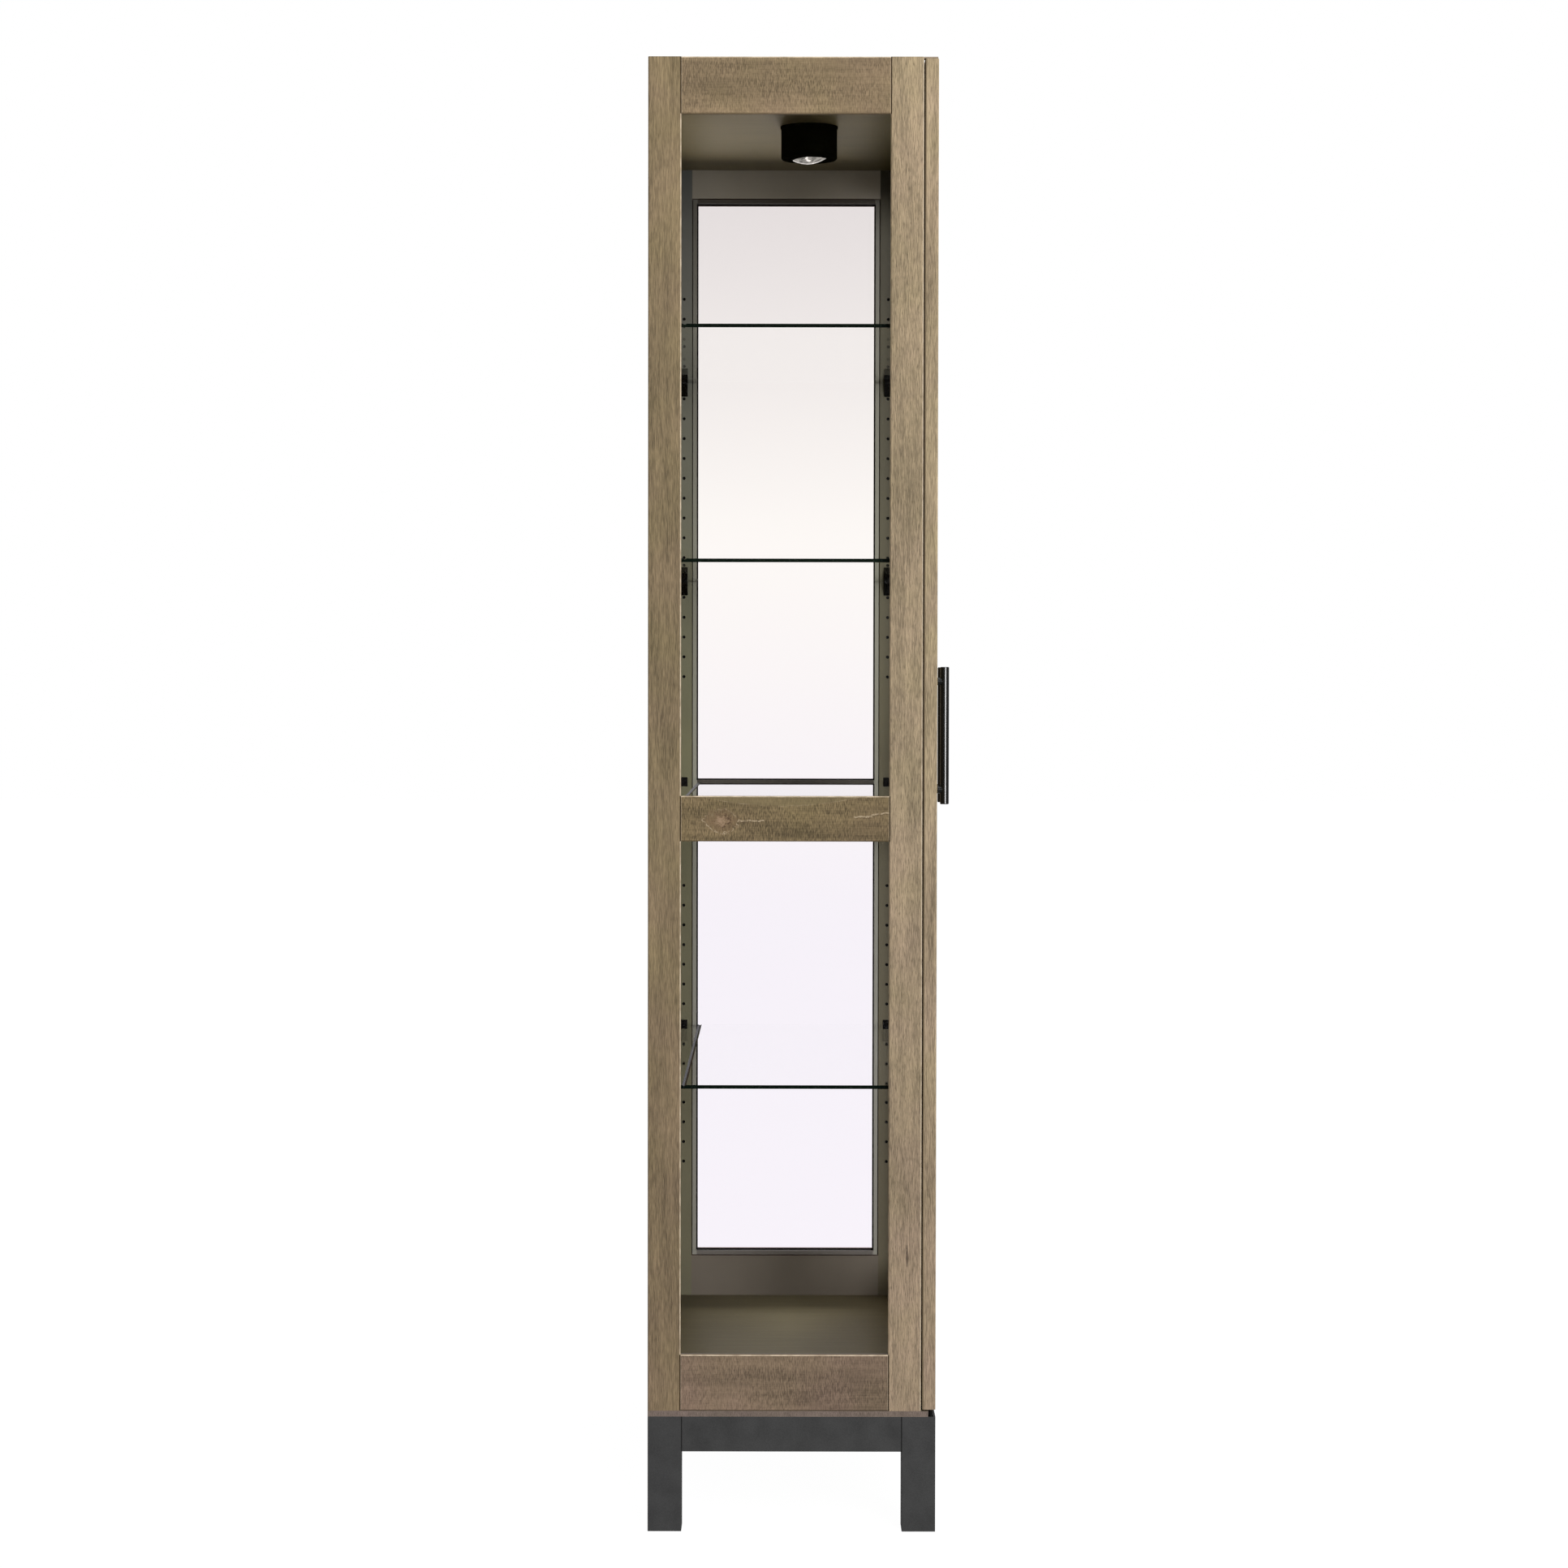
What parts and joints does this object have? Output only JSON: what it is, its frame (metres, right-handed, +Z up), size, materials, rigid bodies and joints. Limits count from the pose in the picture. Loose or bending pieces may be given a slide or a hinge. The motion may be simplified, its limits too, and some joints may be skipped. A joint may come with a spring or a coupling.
{
  "type": "display case",
  "caption": "Tall free-standing display case with glazed sides and doors, adjustable glass shelves, a tilting ceiling lamp and a leg base.",
  "frame": {"origin": "bottom centre of the whole case, on the floor", "axes": "+Z up, +Y towards the back, -Y towards the doors and whoever opens them, +X towards the right-hand side seen from the front"},
  "size_m": [0.914, 0.429, 2.01],
  "materials": {
    "taupe_wood": "rough-sawn, washed taupe, matt",
    "edge_wood": "washed taupe board with bare edges, matt",
    "charcoal_wood": "charcoal paint, matt, slightly mottled",
    "bare_wood": "plain sawn glue blocks",
    "clear_glass": "clear float glass with dark green edges",
    "black_metal": "black satin lacquer",
    "taupe_metal": "lacquered to match the timber",
    "lamp_black": "black satin coated aluminium",
    "lens_glass": "faceted clear lens",
    "bright_steel": "bright zinc-plated steel"
  },
  "bodies": {
    "case": {"left_back_stile": "taupe_wood", "left_front_stile": "taupe_wood", "left_top_rail": "taupe_wood", "left_mid_rail": "taupe_wood", "left_bottom_rail": "taupe_wood", "left_glass_stops": "taupe_wood", "left_upper_glass": "clear_glass", "left_lower_glass": "clear_glass", "right_back_stile": "taupe_wood", "right_front_stile": "taupe_wood", "right_top_rail": "taupe_wood", "right_mid_rail": "taupe_wood", "right_bottom_rail": "taupe_wood", "right_glass_stops": "taupe_wood", "right_upper_glass": "clear_glass", "right_lower_glass": "clear_glass", "top_panel": "taupe_wood", "back_panel": "taupe_wood", "bottom_board": "edge_wood", "top_shelf": "clear_glass", "upper_shelf": "clear_glass", "middle_shelf": "clear_glass", "lower_shelf": "clear_glass", "shelf_supports": "black_metal", "lower_pivot_pins": "black_metal", "upper_pivot_plates": "taupe_metal", "front_left_leg": "charcoal_wood", "front_right_leg": "charcoal_wood", "back_left_leg": "charcoal_wood", "back_right_leg": "charcoal_wood", "front_apron": "charcoal_wood", "back_apron": "charcoal_wood", "left_apron": "charcoal_wood", "right_apron": "charcoal_wood", "corner_blocks": "bare_wood", "base_screws": "bright_steel", "door_magnets": "bright_steel", "lamp_housing": "lamp_black"},
    "left_door": {"left_door_glass_stops": "taupe_wood", "left_door_hinge_stile": "taupe_wood", "left_door_lock_stile": "taupe_wood", "left_door_top_rail": "taupe_wood", "left_door_mid_rail": "taupe_wood", "left_door_bottom_rail": "taupe_wood", "left_door_glass": "clear_glass", "left_handle": "black_metal", "left_handle_screws": "bright_steel", "left_door_strike": "bright_steel"},
    "right_door": {"right_door_glass_stops": "taupe_wood", "right_door_hinge_stile": "taupe_wood", "right_door_lock_stile": "taupe_wood", "right_door_top_rail": "taupe_wood", "right_door_mid_rail": "taupe_wood", "right_door_bottom_rail": "taupe_wood", "right_door_glass": "clear_glass", "right_handle": "black_metal", "right_handle_screws": "bright_steel", "right_door_strike": "bright_steel"},
    "lamp_head": {"lamp_reflector": "lamp_black", "lamp_lens": "lens_glass"}
  },
  "joints": [
    {"name": "left_door_hinge", "type": "hinge", "parent": "case", "child": "left_door", "pos_m": [-0.451, -0.1735, 0.168], "axis": [0, 0, -1], "range_deg": [0, 110]},
    {"name": "right_door_hinge", "type": "hinge", "parent": "case", "child": "right_door", "pos_m": [0.451, -0.1735, 0.168], "axis": [0, 0, 1], "range_deg": [0, 110]},
    {"name": "lamp_tilt", "type": "hinge", "parent": "case", "child": "lamp_head", "pos_m": [0, -0.0065, 1.9515], "axis": [1, 0, 0], "range_deg": [-20, 30]}
  ]
}
